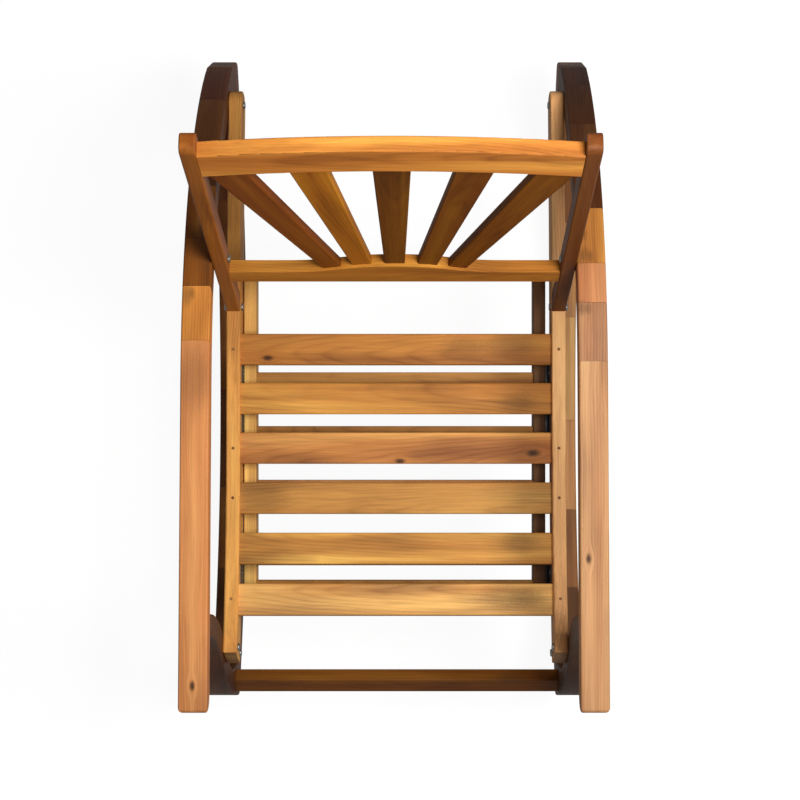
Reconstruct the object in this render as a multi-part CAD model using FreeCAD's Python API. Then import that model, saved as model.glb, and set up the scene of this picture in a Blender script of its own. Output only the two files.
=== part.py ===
import FreeCAD, Part
import math
import os

os.makedirs("parts", exist_ok=True)

# A garden rocking chair in oiled hardwood, with a slatted footrest that pulls
# out from under the seat. Sizes are in millimetres. X runs across the chair,
# Y towards its back and Z up. Left and right are those of someone who stands
# in front of the chair: left is -X. Everything on the right is drawn once and
# mirrored. At the end the model is moved so that the middle of its box is at
# X = Y = 0 and its rockers stand on Z = 0.

# Fits
glue_fit = 0.1
running_fit = 0.3
thread_fit = 0.05
overrun = 4.0
match = 0.01

# Side frames: an arm that arches down to the back, a rocker and a front leg,
# all of one thick stock
overall_width = 662.0
frame_stock = 45.0
frame_ease = 3.5

rocker_radius = 1107.0
rocker_depth = 57.0
rocker_low_y = -27.2
rocker_front_y = -550.0
rocker_rear_y = 560.0
rocker_end_cut = 17.0
rocker_toe_radius = 18.0

arm_height = 638.0
arm_fall = 3.15
arm_front_depth = 35.0
arm_tail_depth = 52.0
arm_tail_rise = 33.0
arm_front_y = -509.0
arch_start_y = 2.0
arm_nose_radius = 26.0
arm_nose_top_radius = 6.0
arm_corner_radius = 9.0

leg_top_y = -382.0
leg_top_depth = 36.0
leg_foot_depth = 46.0
leg_foot_inset = 1.0
# Height below the arm and reach to the front, as shares of the leg's own
leg_line_shares = [
    (0.00, 0.000),
    (0.15, 0.055),
    (0.36, 0.280),
    (0.50, 0.530),
    (0.73, 0.900),
    (0.87, 1.000),
    (1.00, 1.000),
]

frame_dowel_radius = 5.0
frame_dowel_reach = 21.0
frame_dowel_spacing = 18.0

# Seat side rails: scooped at the front, falling gently to the back
rail_stock = 23.0
rail_depth = 65.0
rail_ease = 2.5
seat_height = 368.0
seat_low_y = -60.0
seat_scoop_radius = 1440.0
rail_fall_radius = 4500.0
rail_front_y = -447.0
rail_rear_y = 504.0
rail_front_cut = 24.0
rail_end_radius = 28.0

# Six seat slats between the rails, each tenoned, some pinned from above
slat_count = 6
slat_width = 53.0
slat_gap = 30.4
slat_thickness = 18.0
slat_recess = 8.0
slat_first_y = 56.2
slat_ease = 3.0
slat_tenon_width = 36.0
slat_tenon_thickness = 9.0
slat_tenon_length = 18.0
pin_radius = 2.5
pinned_slats = (1, 3, 4, 6)

# Back frame, drawn upright with its front face at Y = 0 and its foot at
# Z = 0 on top of the seat rail, then leant back
recline = 17.0
post_foot_y = 120.0
post_depth = 31.0
post_height = 628.0
post_top_front_radius = 12.0
post_top_rear_radius = 9.0
post_lap_depth = 42.0
post_ease = 2.5

crest_bottom = 544.5
crest_height = 66.0
crest_thickness = 24.0
crest_arch = 18.0
crest_ease = 2.5

back_rail_drop = 65.2
back_rail_height = 41.0
back_rail_thickness = 21.0
back_rail_setback = 2.0
back_rail_crown = 26.0
back_rail_crown_half = 172.0

back_tenon_length = 14.0
back_tenon_thickness = 10.0
back_tenon_shoulder = 8.0

spindle_count = 5
spindle_top_width = 54.3
spindle_foot_width = 31.0
spindle_thickness = 15.0
spindle_setback = 7.0
spindle_post_gap = 4.6
spindle_fan_share = 0.405
spindle_ease = 2.5
spindle_tenon_shoulder = 5.0
spindle_tenon_thickness = 8.0
spindle_tenon_length = 12.0

# Front stretcher between the feet of the legs
stretcher_width = 24.0
stretcher_height = 38.0
stretcher_lean = 42.0
stretcher_inset = 21.0
stretcher_rise = 4.0
stretcher_ease = 2.5
stretcher_tenon_length = 13.0
stretcher_tenon_shoulder = 5.0

# Footrest: a slatted frame that hangs in grooves on steel angles, its top a
# drop below the seat
footrest_rail_stock = 21.0
footrest_rail_depth = 45.0
footrest_drop = 48.0
footrest_side_gap = 5.0
footrest_side_play = -2.7
footrest_front_y = -396.0
footrest_rear_y = 196.0
footrest_nose_radius = 20.0
footrest_nose_top_radius = 8.0
footrest_ease = 2.0
footrest_slat_count = 5
footrest_slat_width = 54.0
footrest_slat_pitch = 92.4
footrest_slat_thickness = 15.0
footrest_slat_drop = 4.0
footrest_front_slat_inset = 3.2
footrest_front_slat_pitch = 79.6
footrest_tenon_length = 10.0
footrest_tenon_width = 38.0
footrest_tenon_thickness = 7.0
footrest_bar_thickness = 20.0
footrest_bar_height = 32.0
footrest_bar_drop = 7.0

groove_from_top = 14.2
groove_height = 3.2
groove_depth = 9.5
groove_stop = 14.0

angle_steel = 2.0
angle_lip = 11.0
angle_corner_radius = 1.2
middle_angle_front_y = -135.0
middle_angle_length = 165.0
middle_angle_height = 34.0
front_angle_length = 75.0
front_angle_height = 55.0
angle_screw_drop = 8.0
angle_screw_inset = 15.0
angle_screw_count = 2
angle_screw_radius = 1.75
angle_screw_reach = 16.0
angle_screw_head_radius = 3.5
angle_screw_head_height = 1.2

stop_strip_width = 20.0
stop_strip_height = 12.0
stop_strip_inset = 4.0
stop_strip_end_gap = 30.0
stop_batten_width = 20.0
stop_batten_clearance = 3.0
slats_behind_batten_count = 4
stop_batten_inset = 2.0

# Bolts through the rails and posts into threaded inserts in the side frames
bolt_radius = 3.0
bolt_reach = 50.0
bolt_head_radius = 6.5
bolt_head_height = 3.5
bolt_head_round = 2.0
bolt_key_width = 4.0
bolt_key_depth = 2.2
bolt_hole_radius = 3.3
insert_radius = 5.0
insert_length = 18.0
nut_radius = 6.5
nut_height = 6.0
nut_round = 2.5
leg_bolt_edge = 13.5
leg_bolt_shares = (0.24, 0.76)
rear_bolt_inset = 24.0
rear_bolt_share = 0.42

# What follows from the sizes above
frame_outer_x = overall_width / 2
frame_inner_x = frame_outer_x - frame_stock
frame_mid_x = frame_inner_x + frame_stock / 2
rail_inner_x = frame_inner_x - rail_stock
rail_mid_x = rail_inner_x + rail_stock / 2
across = FreeCAD.Vector(1, 0, 0)
origin = FreeCAD.Vector(0, 0, 0)


def at(y, z, x=0.0):
    """A point from its place along the chair, its height and its side."""
    return FreeCAD.Vector(x, y, z)


def side_solid(edges, near_x, far_x):
    """A board cut to an outline of edges drawn in the plane X = 0."""
    face = Part.Face(Part.Wire(Part.__sortEdges__(edges)))
    face.translate(across * near_x)
    return face.extrude(across * (far_x - near_x))


def arc(start, middle, end):
    """An arc edge through three points."""
    return Part.Arc(start, middle, end).toShape()


def line(start, end):
    """A straight edge."""
    return Part.LineSegment(start, end).toShape()


def block(low, high):
    """A box between two opposite corners."""
    size = high - low
    return Part.makeBox(size.x, size.y, size.z, low)


def on_circle(centre, radius, angle):
    """The point of a circle at an angle from straight down, to the back."""
    return centre + at(radius * math.sin(angle), -radius * math.cos(angle))


def meet_circle(start, direction, centre, radius):
    """Where a line first meets a circle ahead of its start."""
    away = start - centre
    half = away.dot(direction)
    root = math.sqrt(half * half - away.dot(away) + radius * radius)
    steps = [step for step in (-half - root, -half + root) if step > -match]
    return start + direction * min(steps)


def edges_at(shape, y, z):
    """The edges that run across the chair through one point of a side view."""
    found = []
    for edge in shape.Edges:
        near = [abs(v.Y - y) < match and abs(v.Z - z) < match for v in edge.Vertexes]
        if near and all(near):
            found.append(edge)
    return found


def rounded_at(shape, radius, point):
    """The same solid with the corner at a point of its side view rounded."""
    return shape.makeFillet(radius, edges_at(shape, point.y, point.z))


def eased(shape, radius):
    """The same solid with the outlines of its two side faces eased."""
    box = shape.BoundBox
    outline = []
    for edge in shape.Edges:
        places = [vertex.X for vertex in edge.Vertexes]
        for side in (box.XMin, box.XMax):
            if all(abs(place - side) < match for place in places):
                outline.append(edge)
    return shape.makeFillet(radius, outline)


def long_edges(shape, length):
    """The straight edges that run across the chair for a given length."""
    found = []
    for edge in shape.Edges:
        box = edge.BoundBox
        thin = box.YLength < match and box.ZLength < match
        if thin and abs(box.XLength - length) < match:
            found.append(edge)
    return found


def mirrored(shape):
    """The left-hand twin of a right-hand piece."""
    return shape.mirror(origin, across)


def rod(radius, start, end):
    """A round bar between two points."""
    run = end - start
    return Part.makeCylinder(radius, run.Length, start, run)


# Rockers: two arcs about one centre, the ends cut steeper than the curve's own
# square
rocker_centre = at(rocker_low_y, rocker_radius)
rocker_top_radius = rocker_radius - rocker_depth


def rocker_angle(y):
    """The angle at which the rocker's top passes a place along the chair."""
    return math.asin((y - rocker_low_y) / rocker_top_radius)


def rocker_top(y):
    """The point of the rocker's top at a place along the chair."""
    return on_circle(rocker_centre, rocker_top_radius, rocker_angle(y))


end_cut = math.radians(rocker_end_cut)
heel_cut = at(math.sin(end_cut), -math.cos(end_cut))
toe_cut = at(-math.sin(end_cut), -math.cos(end_cut))
heel_angle = rocker_angle(rocker_rear_y)
heel_top = rocker_top(rocker_rear_y)
heel_foot = meet_circle(heel_top, heel_cut, rocker_centre, rocker_radius)
toe_top = rocker_top(rocker_front_y)
toe_foot = meet_circle(toe_top, toe_cut, rocker_centre, rocker_radius)
rocker = side_solid(
    [
        arc(toe_top, rocker_top(rocker_low_y), heel_top),
        line(heel_top, heel_foot),
        arc(heel_foot, at(rocker_low_y, 0.0), toe_foot),
        line(toe_foot, toe_top),
    ],
    frame_inner_x,
    frame_outer_x,
)
rocker = rounded_at(rocker, rocker_toe_radius, toe_foot)
rocker = rounded_at(rocker, rocker_toe_radius, heel_foot)
rocker = eased(rocker, frame_ease)

# Arms: nearly level over the seat, falling a little to the back, then an arch
# that lands on the rocker's heel. The outside of the arch ends at a corner
# above the heel, in line with the heel's cut, and its inside leaves the tail
# the depth named above.
arm_slope = math.radians(arm_fall)
arm_square = at(math.sin(arm_slope), math.cos(arm_slope))
arch_start_angle = math.pi - arm_slope


def arm_top(y):
    """The point of the straight part's top at a place along the chair."""
    return at(y, arm_height - (y - arm_front_y) * math.tan(arm_slope))


def arm_under(y):
    """The point of the straight part's underside at the same place."""
    return arm_top(y) - at(0.0, arm_front_depth / math.cos(arm_slope))


def angle_about(centre, point):
    """The angle of a point from straight down about a centre, to the back."""
    reach = point - centre
    return math.atan2(reach.y, -reach.z)


tail_corner = heel_top - heel_cut * arm_tail_rise
arch_start = arm_top(arch_start_y)
arch_reach = tail_corner - arch_start
arch_radius = arch_reach.dot(arch_reach) / (-2 * arch_reach.dot(arm_square))
arch_centre = arch_start - arm_square * arch_radius
tail_angle = angle_about(arch_centre, tail_corner)
inner_start = arch_start - arm_square * arm_front_depth
inner_reach = tail_corner - inner_start
inner_radius = (inner_reach.dot(inner_reach) - arm_tail_depth ** 2) / (
    2 * (arm_tail_depth - inner_reach.dot(arm_square))
)
inner_centre = inner_start - arm_square * inner_radius


def arch_edge(centre, radius, end_angle):
    """An arc from the straight part of the arm to an angle on the arch."""
    middle = (arch_start_angle + end_angle) / 2
    return arc(
        on_circle(centre, radius, arch_start_angle),
        on_circle(centre, radius, middle),
        on_circle(centre, radius, end_angle),
    )


tail_end = heel_top - at(0.0, rocker_depth / 2)
inner_end_angle = angle_about(inner_centre, tail_end)
inner_end = on_circle(inner_centre, inner_radius, inner_end_angle)
nose_top = arm_top(arm_front_y)
nose_foot = arm_under(arm_front_y)
arm = side_solid(
    [
        line(nose_top, arch_start),
        arch_edge(arch_centre, arch_radius, tail_angle),
        line(tail_corner, heel_top),
        line(heel_top, tail_end),
        line(tail_end, inner_end),
        arch_edge(inner_centre, inner_radius, inner_end_angle),
        line(inner_start, nose_foot),
        line(nose_foot, nose_top),
    ],
    frame_inner_x,
    frame_outer_x,
)
arm = rounded_at(arm, arm_nose_radius, nose_foot)
arm = rounded_at(arm, arm_nose_top_radius, nose_top)
arm = eased(arm, frame_ease)
arm = arm.cut(rocker)

# Front legs: a bent board that tapers to the top, from under the arm to the
# rocker's toe
leg_foot_y = rocker_front_y + leg_foot_inset + leg_foot_depth / 2
leg_foot = rocker_top(leg_foot_y)
leg_head = arm_under(leg_top_y)
leg_fall = leg_head.z - leg_foot.z
leg_reach = leg_top_y - leg_foot_y
leg_line = [leg_head + at(0.0, arm_front_depth / 2)]
leg_half_depths = [leg_top_depth / 2]
for fall_share, reach_share in leg_line_shares:
    leg_y = leg_top_y - reach_share * leg_reach
    leg_z = leg_head.z - fall_share * leg_fall
    leg_line.append(at(leg_y, leg_z))
    taper = (leg_foot_depth - leg_top_depth) * fall_share
    leg_half_depths.append((leg_top_depth + taper) / 2)
leg_line.append(leg_foot - at(0.0, rocker_depth / 2))
leg_half_depths.append(leg_foot_depth / 2)

leg_front = []
leg_back = []
for index, point in enumerate(leg_line):
    before = leg_line[max(index - 1, 0)]
    after = leg_line[min(index + 1, len(leg_line) - 1)]
    along = (after - before).normalize()
    aside = at(along.z, -along.y) * leg_half_depths[index]
    leg_front.append(point + aside)
    leg_back.append(point - aside)


def curve_through(points):
    """A smooth edge through a row of points."""
    curve = Part.BSplineCurve()
    curve.interpolate(points)
    return curve.toShape()


leg = side_solid(
    [
        curve_through(leg_front),
        line(leg_front[-1], leg_back[-1]),
        curve_through(leg_back),
        line(leg_back[0], leg_front[0]),
    ],
    frame_inner_x,
    frame_outer_x,
)
leg = eased(leg, frame_ease)
leg = leg.cut(arm).cut(rocker)

# Plan corner of the arm's nose, rounded on the outside
nose_corner = Part.makeCylinder(
    arm_corner_radius,
    arm_height,
    at(arm_front_y + arm_corner_radius, 0.0, frame_outer_x - arm_corner_radius),
)
nose_square = block(
    at(arm_front_y - overrun, 0.0, frame_outer_x - arm_corner_radius),
    at(arm_front_y + arm_corner_radius, arm_height + overrun, frame_outer_x + overrun),
)
arm = arm.cut(nose_square.cut(nose_corner))


# Dowels, in pairs, in the three joints of each side frame
def dowel_pair(joint, axis):
    """Two dowels across a joint, side by side along the frame."""
    aside = at(axis.z, -axis.y) * (frame_dowel_spacing / 2)
    middle = joint + across * frame_mid_x
    dowels = []
    for place in (middle - aside, middle + aside):
        start = place - axis * frame_dowel_reach
        end = place + axis * frame_dowel_reach
        dowels.append(rod(frame_dowel_radius, start, end))
    return dowels


def dowel_holes(dowels):
    """The holes that a list of dowels fills."""
    holes = []
    for dowel in dowels:
        middle = dowel.CenterOfMass
        axis = (dowel.Faces[0].Surface.Axis).normalize()
        reach = axis * (frame_dowel_reach + glue_fit)
        holes.append(rod(frame_dowel_radius + glue_fit, middle - reach, middle + reach))
    return Part.makeCompound(holes)


tail_middle_angle = heel_angle - arm_tail_depth / 2 / rocker_top_radius
tail_joint = on_circle(rocker_centre, rocker_top_radius, tail_middle_angle)
tail_axis = (rocker_centre - tail_joint).normalize()
foot_axis = (rocker_centre - leg_foot).normalize()
arm_dowels = dowel_pair(leg_head, arm_square)
foot_dowels = dowel_pair(leg_foot, foot_axis)
tail_dowels = dowel_pair(tail_joint, tail_axis)
arm = arm.cut(dowel_holes(arm_dowels)).cut(dowel_holes(tail_dowels))
leg = leg.cut(dowel_holes(arm_dowels)).cut(dowel_holes(foot_dowels))
rocker = rocker.cut(dowel_holes(foot_dowels)).cut(dowel_holes(tail_dowels))


# Seat rails: two arcs that meet level at the lowest point of the seat
def rail_circle(y):
    """Centre and signed radius of the rail's top at a place along the chair."""
    if y < seat_low_y:
        return at(seat_low_y, seat_height + seat_scoop_radius), -seat_scoop_radius
    return at(seat_low_y, seat_height - rail_fall_radius), rail_fall_radius


def rail_point(y, drop):
    """A point a given depth below the rail's top, square to it."""
    centre, radius = rail_circle(y)
    angle = math.asin((y - seat_low_y) / radius)
    reach = radius - drop
    return centre + at(reach * math.sin(angle), reach * math.cos(angle))


def rail_slope(y):
    """The slope of the rail's top in degrees, rising to the back."""
    centre, radius = rail_circle(y)
    return -math.degrees(math.asin((y - seat_low_y) / radius))


rail_nose_top = rail_point(rail_front_y, 0.0)
nose_cut = math.radians(rail_front_cut)
nose_direction = at(-math.sin(nose_cut), -math.cos(nose_cut))
scoop_centre = rail_circle(rail_front_y)[0]
rail_nose_foot = meet_circle(
    rail_nose_top, nose_direction, scoop_centre, seat_scoop_radius + rail_depth
)
rail_tail_top = rail_point(rail_rear_y, 0.0)
rail_tail_foot = rail_point(rail_rear_y, rail_depth)
front_middle_y = (rail_front_y + seat_low_y) / 2
rear_middle_y = (rail_rear_y + seat_low_y) / 2
seat_rail = side_solid(
    [
        arc(rail_nose_top, rail_point(front_middle_y, 0.0), rail_point(seat_low_y, 0.0)),
        arc(rail_point(seat_low_y, 0.0), rail_point(rear_middle_y, 0.0), rail_tail_top),
        line(rail_tail_top, rail_tail_foot),
        arc(
            rail_tail_foot,
            rail_point(rear_middle_y, rail_depth),
            rail_point(seat_low_y, rail_depth),
        ),
        arc(
            rail_point(seat_low_y, rail_depth),
            rail_point(front_middle_y, rail_depth),
            rail_nose_foot,
        ),
        line(rail_nose_foot, rail_nose_top),
    ],
    rail_inner_x,
    frame_inner_x,
)
seat_rail = rounded_at(seat_rail, rail_end_radius, rail_tail_top)
seat_rail = rounded_at(seat_rail, rail_end_radius, rail_tail_foot)
seat_rail = eased(seat_rail, rail_ease)


# Seat slats, drawn flat with the rail's top at Z = 0, then set on the curve
def set_on_rail(shape, y):
    """A copy moved from flat to its place along the seat's curve."""
    place = FreeCAD.Placement(
        rail_point(y, 0.0), FreeCAD.Rotation(across, rail_slope(y))
    )
    moved = shape.copy()
    moved.Placement = place.multiply(moved.Placement)
    return moved


def tenoned_slat(half_length, width, thickness, ease, tenon):
    """A slat with its top at Z = 0 and a tenon (length, width, thickness)."""
    board = block(
        at(-width / 2, -thickness, -half_length), at(width / 2, 0.0, half_length)
    )
    board = board.makeFillet(ease, long_edges(board, 2 * half_length))
    return board.fuse(slat_tenons(half_length, thickness, tenon, 0.0))


def slat_tenons(half_length, thickness, tenon, fit):
    """The bar that makes both tenons of a slat, grown by a fit."""
    tenon_length, tenon_width, tenon_thickness = tenon
    reach = half_length + tenon_length + fit
    half_width = tenon_width / 2 + fit
    half_height = tenon_thickness / 2 + fit
    return block(
        at(-half_width, -thickness / 2 - half_height, -reach),
        at(half_width, -thickness / 2 + half_height, reach),
    )


slat_tenon = (slat_tenon_length, slat_tenon_width, slat_tenon_thickness)
slat_pitch = slat_width + slat_gap
flat_slat = tenoned_slat(
    rail_inner_x, slat_width, slat_thickness, slat_ease, slat_tenon
)
flat_slat.translate(at(0.0, -slat_recess))
flat_slat_mortise = slat_tenons(rail_inner_x, slat_thickness, slat_tenon, glue_fit)
flat_slat_mortise.translate(at(0.0, -slat_recess))
pin_foot = at(0.0, -slat_recess - slat_thickness, rail_mid_x)
flat_pin = rod(pin_radius, pin_foot, at(0.0, 0.0, rail_mid_x))
flat_pin_hole = rod(
    pin_radius + glue_fit,
    pin_foot - at(0.0, glue_fit),
    at(0.0, overrun, rail_mid_x),
)

seat_slats = []
seat_pins = []
for number in range(1, slat_count + 1):
    slat_y = slat_first_y - (number - 1) * slat_pitch
    slat = set_on_rail(flat_slat, slat_y)
    seat_rail = seat_rail.cut(set_on_rail(flat_slat_mortise, slat_y))
    if number in pinned_slats:
        pin = set_on_rail(flat_pin, slat_y)
        hole = set_on_rail(flat_pin_hole, slat_y)
        seat_pins.extend([pin, mirrored(pin)])
        seat_rail = seat_rail.cut(hole)
        slat = slat.cut(hole).cut(mirrored(hole))
    seat_slats.append(slat)

# Back frame
post_foot = rail_point(post_foot_y, 0.0)
lean = FreeCAD.Placement(post_foot, FreeCAD.Rotation(across, -recline))


def leant(shape):
    """A copy of a piece of the back frame, leant back into its place."""
    moved = shape.copy()
    moved.Placement = lean.multiply(moved.Placement)
    return moved


def front_solid(edges, near_y, far_y):
    """A board cut to an outline of edges drawn in the plane Y = 0."""
    face = Part.Face(Part.Wire(Part.__sortEdges__(edges)))
    face.translate(at(near_y, 0.0))
    return face.extrude(at(far_y - near_y, 0.0))


# The post's own line, and the bolt where it crosses the middle of the arm
lean_angle = math.radians(recline)
up_post = at(math.sin(lean_angle), math.cos(lean_angle))
back_from_post = at(math.cos(lean_angle), -math.sin(lean_angle))
post_line = post_foot + back_from_post * (post_depth / 2)
cross_inside = meet_circle(post_line, up_post, inner_centre, inner_radius)
cross_outside = meet_circle(post_line, up_post, arch_centre, arch_radius)
post_bolt = (cross_inside + cross_outside) / 2
post_bolt_rise = (post_bolt - post_line).dot(up_post)

# Posts: rounded at the top, half lapped into the outer side of the seat rail
post_blank = block(
    at(0.0, -post_lap_depth, rail_inner_x), at(post_depth, post_height, frame_inner_x)
)
post_blank = rounded_at(post_blank, post_top_front_radius, at(0.0, post_height))
post_blank = rounded_at(
    post_blank, post_top_rear_radius, at(post_depth, post_height)
)
post_blank = eased(post_blank, post_ease)
post_blank = leant(post_blank)
post_box = post_blank.BoundBox
outer_half = block(
    at(post_box.YMin - overrun, post_box.ZMin - overrun, rail_mid_x),
    at(post_box.YMax + overrun, post_box.ZMax + overrun, frame_inner_x + overrun),
)
post_tongue = post_blank.common(outer_half)
post_shoulder = post_blank.cut(outer_half).cut(seat_rail)
post_shoulder = max(post_shoulder.Solids, key=lambda solid: solid.Volume)
back_post = post_tongue.fuse(post_shoulder).removeSplitter()
seat_rail = seat_rail.cut(post_tongue)


# Crest rail: both edges arched, tenoned into the posts
def crest_point(share, height):
    """A point of the crest's face, from the middle to the end of its length."""
    rise = crest_arch * (1 - share * share)
    return at(0.0, height + rise, share * rail_inner_x)


crest_top = crest_bottom + crest_height
crest_rail = front_solid(
    [
        arc(crest_point(-1, crest_bottom), crest_point(0, crest_bottom),
            crest_point(1, crest_bottom)),
        line(crest_point(1, crest_bottom), crest_point(1, crest_top)),
        arc(crest_point(1, crest_top), crest_point(0, crest_top),
            crest_point(-1, crest_top)),
        line(crest_point(-1, crest_top), crest_point(-1, crest_bottom)),
    ],
    0.0,
    crest_thickness,
)


def arched_edges(shape):
    """The long edges of a back rail, over half of its length."""
    return [edge for edge in shape.Edges if edge.BoundBox.XLength > rail_inner_x]


crest_rail = crest_rail.makeFillet(crest_ease, arched_edges(crest_rail))

# Lower back rail: straight, with a crown over the middle, just under the bolts
back_rail_bottom = post_bolt_rise - back_rail_drop
back_rail_top = back_rail_bottom + back_rail_height


def crown_edge(side):
    """Half of the crown, easing from the straight top to the middle."""
    curve = Part.BezierCurve()
    half = side * back_rail_crown_half
    crown_top = back_rail_top + back_rail_crown
    curve.setPoles(
        [
            at(0.0, back_rail_top, half),
            at(0.0, back_rail_top, half / 2),
            at(0.0, crown_top, half / 2),
            at(0.0, crown_top, 0.0),
        ]
    )
    return curve.toShape()


rail_ends = [at(0.0, back_rail_top, side * rail_inner_x) for side in (-1, 1)]
rail_feet = [at(0.0, back_rail_bottom, side * rail_inner_x) for side in (-1, 1)]
crown_feet = [at(0.0, back_rail_top, side * back_rail_crown_half) for side in (-1, 1)]
back_rail = front_solid(
    [
        line(rail_ends[0], crown_feet[0]),
        crown_edge(-1),
        crown_edge(1),
        line(crown_feet[1], rail_ends[1]),
        line(rail_ends[1], rail_feet[1]),
        line(rail_feet[1], rail_feet[0]),
        line(rail_feet[0], rail_ends[0]),
    ],
    back_rail_setback,
    back_rail_setback + back_rail_thickness,
)


def rail_tenon(bottom, height, near_y, thickness, fit):
    """The bar that makes both tenons of a back rail, grown by a fit."""
    reach = rail_inner_x + back_tenon_length + fit
    middle_y = near_y + thickness / 2
    half_thickness = back_tenon_thickness / 2 + fit
    low = bottom + back_tenon_shoulder - fit
    high = bottom + height - back_tenon_shoulder + fit
    return block(
        at(middle_y - half_thickness, low, -reach),
        at(middle_y + half_thickness, high, reach),
    )


crest_seat = (crest_bottom, crest_height, 0.0, crest_thickness)
back_rail_seat = (
    back_rail_bottom, back_rail_height, back_rail_setback, back_rail_thickness
)
crest_rail = crest_rail.fuse(rail_tenon(*crest_seat, 0.0))
back_rail = back_rail.fuse(rail_tenon(*back_rail_seat, 0.0))
back_post = back_post.cut(leant(rail_tenon(*crest_seat, glue_fit)))
back_post = back_post.cut(leant(rail_tenon(*back_rail_seat, glue_fit)))


# Spindles: flat blades that fan out to the crest, tenoned into both rails
def blade(foot_x, top_x, narrow, thickness, reach):
    """A tapered blade between the rails, narrowed and lengthened as told."""
    foot = at(0.0, back_rail_top, foot_x)
    top = at(0.0, crest_bottom + crest_arch, top_x)
    axis = (top - foot).normalize()
    aside = FreeCAD.Vector(axis.z, 0, -axis.x)
    foot = foot - axis * reach
    top = top + axis * reach
    foot_half = aside * (spindle_foot_width / 2 - narrow)
    top_half = aside * (spindle_top_width / 2 - narrow)
    corners = [foot - foot_half, foot + foot_half, top + top_half, top - top_half]
    middle_y = spindle_setback + spindle_thickness / 2
    outline = Part.makePolygon(corners + corners[:1])
    face = Part.Face(outline)
    face.translate(at(middle_y - thickness / 2, 0.0))
    return face.extrude(at(thickness, 0.0))


# The outer two leave a named gap to the posts at the ends of the crest's lower
# edge, and the feet stand closer together by the fan's share
outer_step = (spindle_count - 1) / 2
outer_end_x = rail_inner_x - spindle_post_gap - spindle_top_width / 2
arch_share = crest_arch / (crest_bottom + crest_arch - back_rail_top)
outer_top_x = outer_end_x / (1 - (1 - spindle_fan_share) * arch_share)
spindle_top_pitch = outer_top_x / outer_step
spindle_foot_pitch = spindle_top_pitch * spindle_fan_share
spindles = []
for index in range(spindle_count):
    step = index - outer_step
    foot_x = step * spindle_foot_pitch
    top_x = step * spindle_top_pitch
    body = blade(foot_x, top_x, 0.0, spindle_thickness, 0.0)
    sides = [edge for edge in body.Edges if edge.Length > crest_bottom - back_rail_top]
    body = body.makeFillet(spindle_ease, sides)
    body = body.cut(crest_rail).cut(back_rail)
    body = max(body.Solids, key=lambda solid: solid.Volume)
    tenon = blade(
        foot_x, top_x, spindle_tenon_shoulder, spindle_tenon_thickness,
        spindle_tenon_length,
    )
    mortise = blade(
        foot_x, top_x, spindle_tenon_shoulder - glue_fit,
        spindle_tenon_thickness + 2 * glue_fit, spindle_tenon_length + glue_fit,
    )
    spindles.append((body.fuse(tenon), mortise))
for body, mortise in spindles:
    crest_rail = crest_rail.cut(mortise)
    back_rail = back_rail.cut(mortise)
spindles = [leant(body) for body, mortise in spindles]
crest_rail = leant(crest_rail)
back_rail = leant(back_rail)


# Front stretcher: a small rail that leans with the legs, tenoned into each
# frame where the leg stands on the rocker
def stretcher_bar(half_length, narrow):
    """A bar of the stretcher's section, made narrower on every side."""
    half_width = stretcher_width / 2 - narrow
    half_height = stretcher_height / 2 - narrow
    return block(
        at(-half_width, -half_height, -half_length),
        at(half_width, half_height, half_length),
    )


stretcher_y = rocker_front_y + stretcher_inset
stretcher_middle = rocker_top(stretcher_y) + at(0.0, stretcher_height / 4 + stretcher_rise)
stretcher_place = FreeCAD.Placement(
    stretcher_middle, FreeCAD.Rotation(across, -stretcher_lean)
)
stretcher = stretcher_bar(frame_inner_x, 0.0)
stretcher = stretcher.makeFillet(
    stretcher_ease, long_edges(stretcher, 2 * frame_inner_x)
)
stretcher_reach = frame_inner_x + stretcher_tenon_length
stretcher = stretcher.fuse(stretcher_bar(stretcher_reach, stretcher_tenon_shoulder))
stretcher_mortise = stretcher_bar(
    stretcher_reach + glue_fit, stretcher_tenon_shoulder - glue_fit
)
stretcher.Placement = stretcher_place
stretcher_mortise.Placement = stretcher_place
leg = leg.cut(stretcher_mortise)
rocker = rocker.cut(stretcher_mortise)


# Bolts. Each runs out from a rail's inner face into the side frame.
def bolt_at(point):
    """A button-head bolt with a hexagon key socket."""
    seat = at(point.y, point.z, rail_inner_x)
    crown = seat - across * bolt_head_height
    head = rod(bolt_head_radius, crown, seat)
    rim = [edge for edge in head.Edges if edge.BoundBox.XMax < crown.x + match]
    head = head.makeFillet(bolt_head_round, rim)
    key_radius = bolt_key_width / math.sqrt(3)
    key_start = crown - across * overrun
    corners = []
    for corner in range(7):
        angle = corner * math.pi / 3
        around = at(math.cos(angle), math.sin(angle)) * key_radius
        corners.append(key_start + around)
    socket = Part.Face(Part.makePolygon(corners))
    socket = socket.extrude(across * (bolt_key_depth + overrun))
    return head.cut(socket).fuse(rod(bolt_radius, seat, seat + across * bolt_reach))


def insert_at(point):
    """A threaded insert, flush with the inner face of the side frame."""
    start = at(point.y, point.z, frame_inner_x)
    end = start + across * insert_length
    return rod(insert_radius, start, end).cut(
        rod(bolt_radius + thread_fit, start - across * overrun, end + across * overrun)
    )


def bolt_hole(point, radius, start_x, end_x):
    """A hole along the bolt between two planes."""
    return rod(radius, at(point.y, point.z, start_x), at(point.y, point.z, end_x))


lap_bolt = post_line - up_post * (post_lap_depth / 2)
rail_nose = rail_nose_foot - rail_nose_top
from_nose = at(-nose_direction.z, nose_direction.y) * leg_bolt_edge
leg_bolts = [rail_nose_top + rail_nose * share + from_nose for share in leg_bolt_shares]
rear_bolt = rail_point(rail_rear_y - rear_bolt_inset, rear_bolt_share * rail_depth)

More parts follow.
